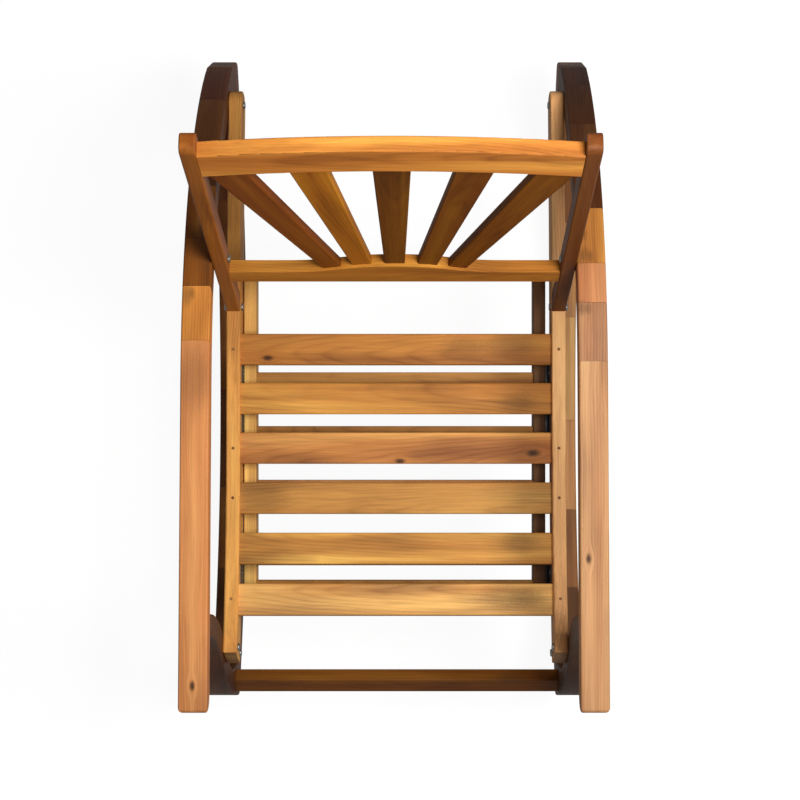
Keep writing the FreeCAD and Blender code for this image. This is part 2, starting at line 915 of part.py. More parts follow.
hole_end_x = rail_inner_x + bolt_reach + overrun
frame_bolts = []
frame_nuts = []
insert_end_x = frame_inner_x + insert_length
for point in leg_bolts + [rear_bolt, post_bolt]:
    frame_bolts.append(bolt_at(point))
    frame_nuts.append(insert_at(point))
    insert_bore = bolt_hole(
        point, insert_radius + glue_fit, frame_inner_x - overrun, insert_end_x
    )
    clearance = bolt_hole(point, bolt_hole_radius, rail_inner_x - overrun, hole_end_x)
    frame_bore = insert_bore.fuse(clearance)
    if point is post_bolt:
        arm = arm.cut(frame_bore)
        back_post = back_post.cut(clearance)
    elif point is rear_bolt:
        arm = arm.cut(frame_bore)
        seat_rail = seat_rail.cut(clearance)
    else:
        leg = leg.cut(frame_bore)
        seat_rail = seat_rail.cut(clearance)

# The lap bolt ends in a cap nut on the outside of the post
lap_shank_end = rail_stock + nut_height / 2
lap_bolt_piece = bolt_at(lap_bolt).cut(
    bolt_hole(lap_bolt, nut_radius, rail_inner_x + lap_shank_end, hole_end_x)
)
frame_bolts.append(lap_bolt_piece)
cap_end_x = frame_inner_x + nut_height
cap_nut = bolt_hole(lap_bolt, nut_radius, frame_inner_x, cap_end_x)
cap_rim = [edge for edge in cap_nut.Edges if edge.BoundBox.XMin > cap_end_x - match]
cap_nut = cap_nut.makeFillet(nut_round, cap_rim)
cap_nut = cap_nut.cut(
    bolt_hole(lap_bolt, bolt_radius + thread_fit, frame_inner_x - overrun,
              rail_inner_x + lap_shank_end)
)
frame_nuts.append(cap_nut)
lap_hole = bolt_hole(lap_bolt, bolt_hole_radius, rail_inner_x - overrun,
                     frame_inner_x + overrun)
seat_rail = seat_rail.cut(lap_hole)
back_post = back_post.cut(lap_hole)

# Footrest, drawn centred and then moved over by its side play
footrest_outer_x = rail_inner_x - footrest_side_gap
footrest_inner_x = footrest_outer_x - footrest_rail_stock
footrest_top = seat_height - footrest_drop
footrest_foot = footrest_top - footrest_rail_depth
footrest_rail = block(
    at(footrest_front_y, footrest_foot, footrest_inner_x),
    at(footrest_rear_y, footrest_top, footrest_outer_x),
)
footrest_rail = rounded_at(
    footrest_rail, footrest_nose_radius, at(footrest_front_y, footrest_foot)
)
footrest_rail = rounded_at(
    footrest_rail, footrest_nose_top_radius, at(footrest_front_y, footrest_top)
)
footrest_rail = eased(footrest_rail, footrest_ease)
groove_roof = footrest_top - groove_from_top
groove = block(
    at(footrest_front_y + groove_stop, groove_roof - groove_height,
       footrest_outer_x - groove_depth),
    at(footrest_rear_y + overrun, groove_roof, footrest_outer_x + overrun),
)
footrest_rail = footrest_rail.cut(groove)

footrest_tenon = (
    footrest_tenon_length, footrest_tenon_width, footrest_tenon_thickness
)
flat_footrest_slat = tenoned_slat(
    footrest_inner_x, footrest_slat_width, footrest_slat_thickness,
    footrest_ease, footrest_tenon,
)
flat_footrest_mortise = slat_tenons(
    footrest_inner_x, footrest_slat_thickness, footrest_tenon, glue_fit
)
footrest_slat_top = footrest_top - footrest_slat_drop
footrest_slats = []
# Counted from the front: the first slat stands at the ends of the rails, and
# the second nearer to it than the others to each other
front_slat_y = footrest_front_y + footrest_front_slat_inset + footrest_slat_width / 2
second_slat_y = front_slat_y + footrest_front_slat_pitch
slat_places = [
    second_slat_y + index * footrest_slat_pitch
    for index in reversed(range(footrest_slat_count - 1))
]
slat_places.append(front_slat_y)
for slat_y in slat_places:
    slat = flat_footrest_slat.copy()
    slat.translate(at(slat_y, footrest_slat_top))
    footrest_slats.append(slat)
    mortise = flat_footrest_mortise.copy()
    mortise.translate(at(slat_y, footrest_slat_top))
    footrest_rail = footrest_rail.cut(mortise)

# Rear bar of the footrest, on edge
bar_top = footrest_top - footrest_bar_drop
bar_middle_y = footrest_rear_y - footrest_bar_thickness / 2
bar_tenon = (
    footrest_tenon_length,
    footrest_tenon_thickness,
    footrest_bar_height - 2 * footrest_tenon_thickness,
)
footrest_bar = tenoned_slat(
    footrest_inner_x, footrest_bar_thickness, footrest_bar_height,
    footrest_ease, bar_tenon,
)
bar_mortise = slat_tenons(footrest_inner_x, footrest_bar_height, bar_tenon, glue_fit)
footrest_bar.translate(at(bar_middle_y, bar_top))
bar_mortise.translate(at(bar_middle_y, bar_top))
footrest_rail = footrest_rail.cut(bar_mortise)

# The stop: a strip on the rear slat of the footrest runs against a batten
# under a seat slat
strip_front_y = slat_places[0] - footrest_slat_width / 2 + stop_strip_inset
strip_end_x = footrest_inner_x - stop_strip_end_gap
stop_strip = block(
    at(strip_front_y, footrest_slat_top, -strip_end_x),
    at(strip_front_y + stop_strip_width, footrest_slat_top + stop_strip_height,
       strip_end_x),
)
strip_edges = [
    edge for edge in long_edges(stop_strip, 2 * strip_end_x)
    if edge.BoundBox.ZMin > footrest_slat_top + match
]
stop_strip = stop_strip.makeFillet(footrest_ease, strip_edges)

batten_slat_y = slat_first_y - slats_behind_batten_count * slat_pitch
batten_front_y = batten_slat_y - slat_width / 2 + stop_batten_inset
batten_top = rail_point(batten_slat_y, slat_recess + slat_thickness / 2).z
stop_batten = block(
    at(batten_front_y, footrest_top + stop_batten_clearance, -rail_inner_x),
    at(batten_front_y + stop_batten_width, batten_top, rail_inner_x),
)
stop_batten = stop_batten.cut(seat_slats[slats_behind_batten_count])
stop_batten = min(stop_batten.Solids, key=lambda solid: solid.BoundBox.ZMin)


# Steel angles that carry the footrest, each screwed to a seat rail
def steel_angle(start_y, length, height):
    """An angle with one flange on the rail and a lip in the groove."""
    lip_top = groove_roof - running_fit
    lip_foot = lip_top - angle_steel
    flange_x = rail_inner_x - angle_steel
    end_y = start_y + length
    flange = block(
        at(start_y, lip_foot, flange_x), at(end_y, lip_foot + height, rail_inner_x)
    )
    lip = block(
        at(start_y, lip_foot, rail_inner_x - angle_lip), at(end_y, lip_top, flange_x)
    )
    angle = flange.fuse(lip).removeSplitter()
    heel = []
    for edge in angle.Edges:
        bounds = edge.BoundBox
        runs = bounds.YLength > length - match
        corner = abs(bounds.XMax - rail_inner_x) < match and bounds.ZMax < lip_top
        if runs and corner:
            heel.append(edge)
    angle = angle.makeFillet(angle_corner_radius, heel)
    screws = []
    screw_z = lip_foot + height - angle_screw_drop
    first = start_y + angle_screw_inset
    spacing = (length - 2 * angle_screw_inset) / (angle_screw_count - 1)
    for index in range(angle_screw_count):
        centre = at(first + index * spacing, screw_z, flange_x)
        shank = rod(angle_screw_radius, centre, centre + across * angle_screw_reach)
        head = rod(
            angle_screw_head_radius, centre - across * angle_screw_head_height, centre
        )
        screws.append(head.fuse(shank))
    return angle, screws


middle_angle, middle_screws = steel_angle(
    middle_angle_front_y, middle_angle_length, middle_angle_height
)
# The front angle's end is also what the pushed-in footrest comes up against
front_angle, front_screws = steel_angle(
    footrest_front_y + groove_stop + running_fit,
    front_angle_length,
    front_angle_height,
)
for screw in middle_screws + front_screws:
    seat_rail = seat_rail.cut(screw)
for screw in middle_screws:
    middle_angle = middle_angle.cut(screw)
for screw in front_screws:
    front_angle = front_angle.cut(screw)
angle_screws = []
for screw in middle_screws + front_screws:
    angle_screws.extend([screw, mirrored(screw)])

# Every piece by its name
nodes = {}
pairs = {
    "arm": arm,
    "rocker": rocker,
    "front_leg": leg,
    "seat_rail": seat_rail,
    "back_post": back_post,
    "middle_angle": middle_angle,
    "front_angle": front_angle,
    "frame_dowels": Part.makeCompound(arm_dowels + foot_dowels + tail_dowels),
    "frame_bolts": Part.makeCompound(frame_bolts),
    "frame_nuts": Part.makeCompound(frame_nuts),
}
for name, shape in pairs.items():
    nodes["right_" + name] = shape
    nodes["left_" + name] = mirrored(shape)
nodes["crest_rail"] = crest_rail
nodes["lower_back_rail"] = back_rail
for number, shape in enumerate(spindles, 1):
    nodes["back_spindle_%d" % number] = shape
for number, shape in enumerate(seat_slats, 1):
    nodes["seat_slat_%d" % number] = shape
nodes["seat_slat_pins"] = Part.makeCompound(seat_pins)
nodes["front_stretcher"] = stretcher
nodes["seat_stop_batten"] = stop_batten
nodes["angle_screws"] = Part.makeCompound(angle_screws)

footrest = {
    "footrest_right_rail": footrest_rail,
    "footrest_left_rail": mirrored(footrest_rail),
    "footrest_rear_bar": footrest_bar,
    "footrest_stop_strip": stop_strip,
}
for number, shape in enumerate(footrest_slats, 1):
    footrest["footrest_slat_%d" % number] = shape
for name, shape in footrest.items():
    shape.translate(across * footrest_side_play)
    nodes[name] = shape

# The whole is moved to stand on Z = 0 about the middle of its box
bounds = Part.makeCompound(list(nodes.values())).optimalBoundingBox(False, False)
to_origin = FreeCAD.Vector(-bounds.Center.x, -bounds.Center.y, -bounds.ZMin)
for name, shape in nodes.items():
    shape.translate(to_origin)
    shape.exportStep("parts/" + name + ".step")
print("%d nodes, %.1f x %.1f x %.1f mm" % (
    len(nodes), bounds.XLength, bounds.YLength, bounds.ZLength))
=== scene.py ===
import math

import bpy
import numpy as np
from mathutils import Matrix, Vector

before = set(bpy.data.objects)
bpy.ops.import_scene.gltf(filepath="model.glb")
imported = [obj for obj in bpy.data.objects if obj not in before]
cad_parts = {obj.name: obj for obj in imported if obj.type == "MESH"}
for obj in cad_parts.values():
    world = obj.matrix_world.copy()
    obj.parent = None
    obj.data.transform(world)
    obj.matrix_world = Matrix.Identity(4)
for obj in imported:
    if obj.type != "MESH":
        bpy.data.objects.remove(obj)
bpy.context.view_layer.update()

bl_info = {
    "name": "Rocking chair in oiled acacia",
    "version": (1, 0, 0),
    "blender": (4, 5, 0),
    "location": "View3D > Sidebar > Rocking chair",
    "description": "Dresses a rocking chair with a footrest in acacia and steel",
    "category": "Object",
}

MM = 0.001

# Noises of the wood's figure: how long a cell is along the grain in millimetres, and
# the noise's detail and roughness. Their widths across the grain are in WoodLook.
NOISES = {
    "wander": (280.0, 2.0, 0.5),
    "band": (750.0, 2.0, 0.45),
    "cloud": (240.0, 3.0, 0.42),
    "streak": (450.0, 2.0, 0.5),
    "fibre": (100.0, 3.0, 0.6),
}
# Nearly all values of a noise lie in the first range, and those of the bands in the
# second
NOISE_RANGE = (0.3, 0.7)
BAND_RANGE = (0.35, 0.65)

# The pith runs below the board. Chance puts it between the start and the start plus
# the spread, in metres across and through the board, and it rises along the grain.
PITH_START = (0.0, -0.035, -0.062)
PITH_SPREAD = (0.0, 0.07, 0.03)
PITH_RISE = 0.06
# Darkness over the width of a growth ring, from early wood to late wood
RING_STOPS = ((0.0, 0.3), (0.2, 0.0), (0.6, 0.1), (0.88, 1.0), (1.0, 0.4))

# A knot's pull on the grain and its dark mark: two distances in knot sizes, and how
# strong each is at them. A knot is longer than wide by its stretch.
KNOT_PULL = (0.5, 4.0, 0.92, 0.0)
KNOT_MARK = (0.75, 1.9, 0.9, 0.0)
KNOT_STRETCH = 2.0
KNOT_COLOUR = "#2E1A0C"
# Flecks make a knot's edge ragged: their width in millimetres, and their share in it
FLECK_WIDTH = 2.38
FLECK_SHARE = 0.9
# Stains and painted shadows colour the board by this share
STAIN_AND_SHADOW_COLOUR = "#4A301C"
STAIN_AND_SHADOW_SHARE = 0.42

# How marked a board's figure is, and how dark its end grain is, where a look says none
USUAL_FIGURE = 0.8
USUAL_END = 0.5
# How squarely a face looks along the grain where it begins to count as end grain, and
# where it wholly does
END_FACING = (0.72, 0.92)
# Seeds: their step from board to board, and how far chance spreads a block's
BOARD_SEED_STEP = 3.7
BLOCK_SEEDS = 80.0

# Glue line between two blocks in millimetres, wider than real so that it shows, its
# darkness, and the difference of colour that counts as a change of block
GLUE_WIDTH = 0.8
GLUE_SHADE = 0.5
BLOCK_CHANGE = 0.002

# Oil on wood: a low gloss, and a bump of open fibre with its depth in millimetres
OIL_IOR = 1.45
OIL_SPECULAR = 0.2
FIBRE_BUMP = 0.12
FIBRE_DEPTH = 0.4

# Steel: the sizes of its patterns in millimetres, the part of the rubbing's noise that
# counts as worn, and the enamel's bump
ZINC_CLOUD_WIDTH = 1.11
RUB_WIDTH = 16.7
WORN_RANGE = (0.52, 0.75)
PEEL_WIDTH = 1.43
PEEL_DEPTH = 0.1
PEEL_BUMP = 0.15

# Further off than any piece, in metres
FAR = 10.0


class WoodLook(bpy.types.PropertyGroup):
    """Sizes and tints of the oiled acacia."""

    sap_tint: bpy.props.FloatVectorProperty(
        name="Sapwood tint",
        description="What the palest bands do to a board's colour",
        default=(1.40, 1.72, 1.85),
    )
    heart_tint: bpy.props.FloatVectorProperty(
        name="Heartwood tint",
        description="What the darkest bands do to a board's colour",
        default=(0.72, 0.58, 0.52),
    )
    cloud_tint: bpy.props.FloatVectorProperty(
        name="Cloud tint",
        description="What the darker clouds do to a board's colour",
        default=(0.46, 0.42, 0.48),
    )
    ring_tint: bpy.props.FloatVectorProperty(
        name="Ring tint",
        description="What the late wood of a growth ring does to a board's colour",
        default=(0.52, 0.42, 0.34),
    )
    ring_width: bpy.props.FloatProperty(
        name="Ring width",
        description="Distance between growth rings",
        default=0.0042, min=0.001, unit="LENGTH",
    )
    wander_width: bpy.props.FloatProperty(
        name="Wander width",
        description="Width of one bend of the grain",
        default=0.06, min=0.005, unit="LENGTH",
    )
    band_width: bpy.props.FloatProperty(
        name="Band width",
        description="Width of the broad colour bands",
        default=0.034, min=0.005, unit="LENGTH",
    )
    cloud_width: bpy.props.FloatProperty(
        name="Cloud width",
        description="Width of a darker cloud in the wood",
        default=0.048, min=0.005, unit="LENGTH",
    )
    streak_width: bpy.props.FloatProperty(
        name="Streak width",
        description="Width of a soft colour streak",
        default=0.007, min=0.001, unit="LENGTH",
    )
    fibre_width: bpy.props.FloatProperty(
        name="Fibre width",
        description="Width of a fibre, coarser than real so it shows",
        default=0.0017, min=0.0002, unit="LENGTH",
    )
    warp: bpy.props.FloatProperty(
        name="Warp",
        description="How far the grain wanders",
        default=0.008, min=0.0, unit="LENGTH",
    )
    roughness: bpy.props.FloatProperty(
        name="Oil roughness",
        description="Roughness of the oiled surface",
        default=0.56, min=0.0, max=1.0, subtype="FACTOR",
    )
    joint_pitch: bpy.props.FloatProperty(
        name="Finger pitch",
        description="Width of one finger of a finger joint",
        default=0.0075, min=0.001, unit="LENGTH",
    )
    joint_reach: bpy.props.FloatProperty(
        name="Finger length",
        description="Length of the fingers of a finger joint",
        default=0.010, min=0.0, unit="LENGTH",
    )


class FrameShape(bpy.types.PropertyGroup):
    """The circles that the bent frame pieces follow, seen from the side."""

    arch_back: bpy.props.FloatProperty(
        name="Arch centre, back",
        description="Place of the arms' arch along the chair",
        default=-0.04017, unit="LENGTH",
    )
    arch_height: bpy.props.FloatProperty(
        name="Arch centre, height",
        description="Height of the centre of the arms' arch",
        default=-0.06005, unit="LENGTH",
    )
    arch_radius: bpy.props.FloatProperty(
        name="Arch radius",
        description="Radius of the outside of the arms' arch",
        default=0.67095, unit="LENGTH",
    )
    arm_fall: bpy.props.FloatProperty(
        name="Arm fall",
        description="Slope of the straight part of the arms",
        default=math.radians(3.15), subtype="ANGLE",
    )
    rocker_back: bpy.props.FloatProperty(
        name="Rocker centre, back",
        description="Place of the rockers' centre along the chair",
        default=-0.0325, unit="LENGTH",
    )
    rocker_radius: bpy.props.FloatProperty(
        name="Rocker radius",
        description="Radius of the rockers' running edge",
        default=1.107, unit="LENGTH",
    )


class SteelLook(bpy.types.PropertyGroup):
    """Colours and gloss of the zinc plating and of the black enamel."""

    zinc: bpy.props.StringProperty(
        name="Zinc",
        description="Colour of the zinc's dull spots",
        default="#6E6C68",
    )
    zinc_bright: bpy.props.StringProperty(
        name="Bright zinc",
        description="Colour of the zinc's bright spots",
        default="#96948F",
    )
    zinc_dull: bpy.props.FloatProperty(
        name="Zinc, dull",
        description="Roughness of the zinc's dull spots",
        default=0.42, min=0.0, max=1.0, subtype="FACTOR",
    )
    zinc_shine: bpy.props.FloatProperty(
        name="Zinc, shining",
        description="Roughness of the zinc's bright spots",
        default=0.3, min=0.0, max=1.0, subtype="FACTOR",
    )
    enamel: bpy.props.StringProperty(
        name="Enamel",
        description="Colour of the black enamel",
        default="#191817",
    )
    enamel_rubbed: bpy.props.StringProperty(
        name="Rubbed enamel",
        description="Colour of the enamel where it is rubbed",
        default="#3B3936",
    )
    enamel_shine: bpy.props.FloatProperty(
        name="Enamel, shining",
        description="Roughness of the enamel where it is whole",
        default=0.38, min=0.0, max=1.0, subtype="FACTOR",
    )
    enamel_dull: bpy.props.FloatProperty(
        name="Enamel, dull",
        description="Roughness of the enamel where it is rubbed",
        default=0.55, min=0.0, max=1.0, subtype="FACTOR",
    )


class StageLook(bpy.types.PropertyGroup):
    """Camera, softbox, sky and floor."""

    camera_height: bpy.props.FloatProperty(
        name="Camera height",
        description="Height of the lens above the floor",
        default=3.297, unit="LENGTH",
    )
    camera_right: bpy.props.FloatProperty(
        name="Camera to the right",
        description="Distance of the lens from the middle plane",
        default=0.0337, unit="LENGTH",
    )
    camera_back: bpy.props.FloatProperty(
        name="Camera to the back",
        description="Distance of the lens behind the middle, before it where negative",
        default=-0.03485, unit="LENGTH",
    )
    lens: bpy.props.FloatProperty(
        name="Lens",
        description="Focal length in millimetres",
        default=78.25, min=1.0, unit="CAMERA",
    )
    sensor: bpy.props.FloatProperty(
        name="Sensor",
        description="Width of the camera's sensor in millimetres",
        default=36.0, min=1.0, unit="CAMERA",
    )
    shift: bpy.props.FloatProperty(
        name="Shift",
        description="Sideways shift of the picture, in picture widths",
        default=-0.02,
    )
    lamp_place: bpy.props.FloatVectorProperty(
        name="Softbox",
        description="Place of the softbox over the chair",
        default=(0.75, 0.05, 2.3), subtype="XYZ", unit="LENGTH",
    )
    lamp_aim: bpy.props.FloatVectorProperty(
        name="Softbox aim",
        description="Place on the seat that the softbox is turned to",
        default=(0.0, 0.0, 0.4), subtype="XYZ", unit="LENGTH",
    )
    lamp_size: bpy.props.FloatProperty(
        name="Softbox size",
        description="Side of the square softbox",
        default=0.9, unit="LENGTH",
    )
    lamp_power: bpy.props.FloatProperty(
        name="Softbox power",
        description="Power of the softbox",
        default=44.0, min=0.0, unit="POWER",
    )
    sky_power: bpy.props.FloatProperty(
        name="Sky",
        description="Strength of the even light from all round",
        default=0.14, min=0.0,
    )
    gloss_share: bpy.props.FloatProperty(
        name="Background in gloss",
        description="How much of the white background a reflection shows",
        default=0.45, min=0.0, max=1.0, subtype="FACTOR",
    )
    floor: bpy.props.StringProperty(
        name="Floor",
        description="Colour of the floor under the chair",
        default="#848280",
    )
    floor_reach: bpy.props.FloatProperty(
        name="Floor reach",
        description="Distance from the middle of the floor to its edges",
        default=8.0, unit="LENGTH",
    )
    floor_share: bpy.props.FloatProperty(
        name="White share of the floor",
        description="Share of the floor that is plain white, the rest takes the shadow",
        default=0.85, min=0.0, max=1.0, subtype="FACTOR",
    )
    floor_white: bpy.props.FloatProperty(
        name="Floor's white",
        description="Strength of the floor's plain white",
        default=1.09, min=0.0,
    )


def linear(colour):
    """The linear RGBA of an sRGB hex colour, by the curve of the sRGB standard."""
    parts = np.array([int(colour[place:place + 2], 16) for place in (1, 3, 5)]) / 255
    low = parts / 12.92
    high = ((parts + 0.055) / 1.055) ** 2.4
    return tuple(np.where(parts <= 0.04045, low, high)) + (1.0,)


def grey(level):
    """A linear grey as RGBA."""
    return (level, level, level, 1.0)


def node(tree, kind, inputs=None, stops=None, **settings):
    """Adds one node with its settings, sets or links its inputs, and places its stops.

    Inputs are a list in the node's own order, or a dictionary by name or number. A
    Map Range node takes the value, its range's two ends, and what it gives at them. A
    Mix node has its share at 0, then two numbers at 2 and 3, two vectors at 4 and 5
    and two colours at 6 and 7, and gives a number at 0, a vector at 1 or a colour at 2.
    """
    made = tree.nodes.new(kind)
    for name, value in settings.items():
        setattr(made, name, value)
    named = inputs if isinstance(inputs, dict) else dict(enumerate(inputs or []))
    for place, value in named.items():
        if isinstance(value, bpy.types.NodeSocket):
            tree.links.new(value, made.inputs[place])
        else:
            made.inputs[place].default_value = value
    for index, (position, value) in enumerate(stops or []):
        elements = made.color_ramp.elements
        element = elements[index] if index < 2 else elements.new(position)
        element.position = position
        element.color = value
    return made


def new_group(name, inputs, outputs):
    """An empty shader node group with the named sockets, and its input sockets."""
    tree = bpy.data.node_groups.new(name, "ShaderNodeTree")
    for way, sockets in (("INPUT", inputs), ("OUTPUT", outputs)):
        for title, kind in sockets.items():
            tree.interface.new_socket(
                title, in_out=way, socket_type="NodeSocket" + kind
            )
    return tree, node(tree, "NodeGroupInput").outputs


def unrolled_group(name, centre, along, up, radius, straight_front):
    """Node group that lays a bent frame piece out straight.

    With u and v the parts of a place along the piece and square to it, counted from
    the circle's centre, the distance along the grain is the radius times the angle
    of (u, v), and the depth is the length of (u, v) less the radius. Where the front
    is straight, u counts as nought in the circle and is the distance along instead.
    """
    tree, start = new_group(name, {"Place": "Vector"}, {"Board": "Vector"})
    from_centre = node(
        tree, "ShaderNodeVectorMath", [start["Place"], centre], operation="SUBTRACT"
    ).outputs[0]
    u, v = (
        node(
            tree, "ShaderNodeVectorMath", [from_centre, axis],
            operation="DOT_PRODUCT",
        ).outputs["Value"]
        for axis in (along, up)
    )
    circle_starts = 0.0 if straight_front else -FAR
    bent = node(
        tree, "ShaderNodeMath", [u, circle_starts], operation="MAXIMUM"
    ).outputs[0]
    straight = node(tree, "ShaderNodeMath", [u, bent], operation="SUBTRACT").outputs[0]
    angle = node(tree, "ShaderNodeMath", [bent, v], operation="ARCTAN2").outputs[0]
    grain = node(
        tree, "ShaderNodeMath", [angle, radius, straight], operation="MULTIPLY_ADD"
    ).outputs[0]
    spoke = node(tree, "ShaderNodeCombineXYZ", [bent, v]).outputs[0]
    length = node(
        tree, "ShaderNodeVectorMath", [spoke], operation="LENGTH"
    ).outputs["Value"]
    depth = node(
        tree, "ShaderNodeMath", [length, radius], operation="SUBTRACT"
    ).outputs[0]
    side = node(tree, "ShaderNodeSeparateXYZ", [start["Place"]]).outputs[0]
    board = node(tree, "ShaderNodeCombineXYZ", [grain, side, depth])
    node(tree, "NodeGroupOutput", {"Board": board.outputs[0]})
    return tree


def acacia_group():
    """Node group for the figure of a sawn acacia board.

    Board is a place in the board in metres: along the grain, across it and through
    its thickness. Rings are distances from a pith line that runs aslant below the
    board, so they meet the face as long arches. Noise stretched along the grain
    gives bands from sapwood to heartwood, darker clouds, streaks and the fibre.
    """
    look = bpy.context.scene.chair_wood
    tree, start = new_group(
        "acacia_figure",
        {"Board": "Vector", "Seed": "Float", "Main": "Color", "Figure": "Float"},
        {"Color": "Color", "Roughness": "Float", "Height": "Float"},
    )

    def stretched_noise(name, place):
        """One of the noises, its cells long with the grain and narrow across it."""
        length, detail, rough = NOISES[name]
        across = 1 / getattr(look, name + "_width")
        scaled = node(
            tree, "ShaderNodeVectorMath",
            [place, (1 / (length * MM), across, across)],
            operation="MULTIPLY",
        )
        return node(
            tree, "ShaderNodeTexNoise",
            {"Vector": scaled.outputs[0], "W": start["Seed"], "Scale": 1.0,
             "Detail": detail, "Roughness": rough},
            noise_dimensions="4D",
        ).outputs

    # The grain wanders slowly: a broad noise moves the place where it is read, by
    # up to the warp to either side of the noise's middle
    wander = stretched_noise("wander", start["Board"])["Color"]
    offset = node(
        tree, "ShaderNodeVectorMath", [wander, (0.5, 0.5, 0.5)], operation="SUBTRACT"
    )
    reach = look.warp * 2
    bent = node(
        tree, "ShaderNodeVectorMath",
        [offset.outputs[0], (0.0, reach, reach), start["Board"]],
        operation="MULTIPLY_ADD",
    ).outputs[0]

    # Growth rings: the distance from the pith line, cut into ring widths
    chance = node(
        tree, "ShaderNodeTexWhiteNoise", {"W": start["Seed"]}, noise_dimensions="1D"
    )
    pith = node(
        tree, "ShaderNodeVectorMath",
        [chance.outputs["Color"], PITH_SPREAD, PITH_START],
        operation="MULTIPLY_ADD",
    )
    along = node(tree, "ShaderNodeSeparateXYZ", [bent])
    rise = node(
        tree, "ShaderNodeMath", [along.outputs[0], PITH_RISE], operation="MULTIPLY"
    )
    lift = node(tree, "ShaderNodeCombineXYZ", {2: rise.outputs[0]})
    lifted = node(
        tree, "ShaderNodeVectorMath", [pith.outputs[0], lift.outputs[0]],
        operation="ADD",
    )
    from_pith = node(
        tree, "ShaderNodeVectorMath", [bent, lifted.outputs[0]], operation="SUBTRACT"
    )
    square = node(
        tree, "ShaderNodeVectorMath", [from_pith.outputs[0], (0.0, 1.0, 1.0)],
        operation="MULTIPLY",
    )
    radius = node(tree, "ShaderNodeVectorMath", [square.outputs[0]], operation="LENGTH")
    turns = node(
        tree, "ShaderNodeMath",
        [radius.outputs["Value"], look.ring_width], operation="DIVIDE",
    )
    ring = node(tree, "ShaderNodeMath", [turns.outputs[0]], operation="FRACT")
    late_wood = node(
        tree, "ShaderNodeValToRGB", [ring.outputs[0]],
        [(position, grey(level)) for position, level in RING_STOPS],
    ).outputs[0]

    # Bands run from sapwood over the board's own colour to heartwood, and a board
    # with little figure keeps near its own colour
    band, cloud, streak, fibre = (
        stretched_noise(name, bent)[0] for name in ("band", "cloud", "streak", "fibre")
    )
    spread = node(
        tree, "ShaderNodeMapRange", [band, *BAND_RANGE, -0.5, 0.5], clamp=False
    )
    figured = node(
        tree, "ShaderNodeMath",
        [spread.outputs[0], start["Figure"], 0.5], operation="MULTIPLY_ADD",
    ).outputs[0]

    # For each layer: what it is read from, in which range, and what it gives there.
    # The rings are clearest inside the clouds.
    layers = {
        "heart": [figured, 0.46, 0.0, 0.0, 1.0],
        "sap": [figured, 0.54, 1.0, 0.0, 1.0],
        "cloud": [cloud, 0.52, 0.30, 0.0, 1.0],
        "rings": [cloud, 0.60, 0.38, 0.06, 0.50],
        "streak": [streak, *NOISE_RANGE, 0.88, 1.10],
        "fibre": [fibre, *NOISE_RANGE, 0.86, 1.12],
        "rough": [fibre, *NOISE_RANGE, look.roughness + 0.07, look.roughness - 0.05],
    }
    layer = {
        name: node(tree, "ShaderNodeMapRange", values).outputs[0]
        for name, values in layers.items()
    }
    clouds, rings, shade = (
        node(
            tree, "ShaderNodeMath", [first, second], operation="MULTIPLY"
        ).outputs[0]
        for first, second in (
            (layer["cloud"], start["Figure"]),
            (layer["rings"], late_wood),
            (layer["streak"], layer["fibre"]),
        )
    )

    # Where no layer shows, the tint is one and the board has its own colour
    untinted = (1.0, 1.0, 1.0)
    tint = untinted
    for share, layer_tint in (
        (layer["heart"], look.heart_tint),
        (layer["sap"], look.sap_tint),
        (clouds, look.cloud_tint),
    ):
        tint = node(
            tree, "ShaderNodeMix", {0: share, 4: tint, 5: tuple(layer_tint)},
            data_type="VECTOR",
        ).outputs[1]
    ring_tint = node(
        tree, "ShaderNodeMix", {0: rings, 4: untinted, 5: tuple(look.ring_tint)},
        data_type="VECTOR",
    ).outputs[1]
    colour = start["Main"]
    for factor in (tint, ring_tint):
        colour = node(
            tree, "ShaderNodeVectorMath", [colour, factor], operation="MULTIPLY"
        ).outputs[0]
    shaded = node(
        tree, "ShaderNodeVectorMath", {0: colour, "Scale": shade}, operation="SCALE"
    )
    height = node(tree, "ShaderNodeMath", [fibre, rings], operation="SUBTRACT")
    node(
        tree, "NodeGroupOutput",
        {"Color": shaded.outputs[0], "Roughness": layer["rough"],
         "Height": height.outputs[0]},
    )
    return tree


